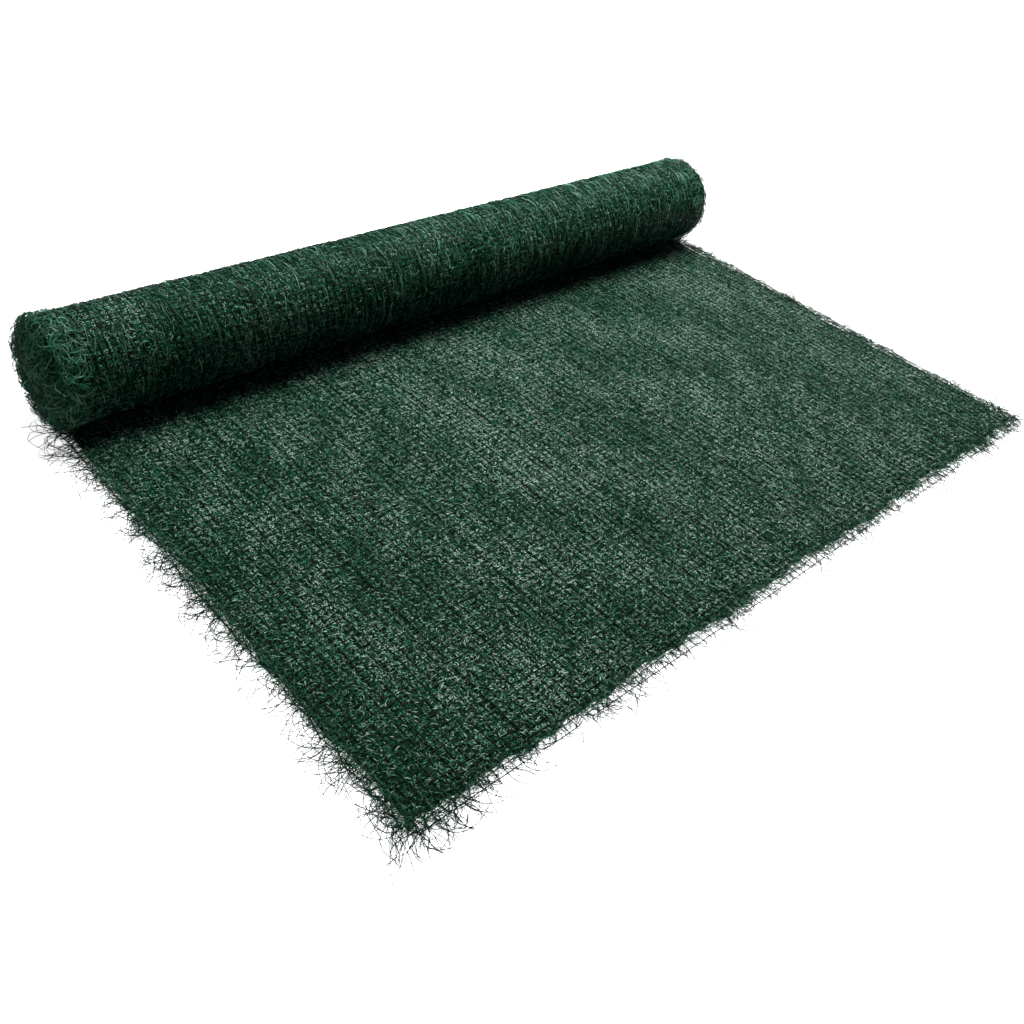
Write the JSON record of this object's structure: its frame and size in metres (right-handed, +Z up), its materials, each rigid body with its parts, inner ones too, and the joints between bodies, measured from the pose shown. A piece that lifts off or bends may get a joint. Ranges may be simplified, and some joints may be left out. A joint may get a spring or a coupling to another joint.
{
  "type": "turf reinforcement mat roll",
  "caption": "Rolled mat of crimped green plastic fibres sewn between nets, its loose end laid flat in front of the roll; pinned to soil to hold turf against erosion.",
  "frame": {"origin": "on the ground, in the middle of the part's outline seen from above", "axes": "+X along the roll, -Y the way the mat is laid out from the roll, +Z up"},
  "size_m": [2, 1.3624, 0.2448],
  "materials": {
    "fibre": "satin green plastic fibre",
    "net": "satin black-green plastic net",
    "thread": "dull dark sewing thread"
  },
  "bodies": {
    "root": {"mat": "fibre"}
  },
  "joints": []
}
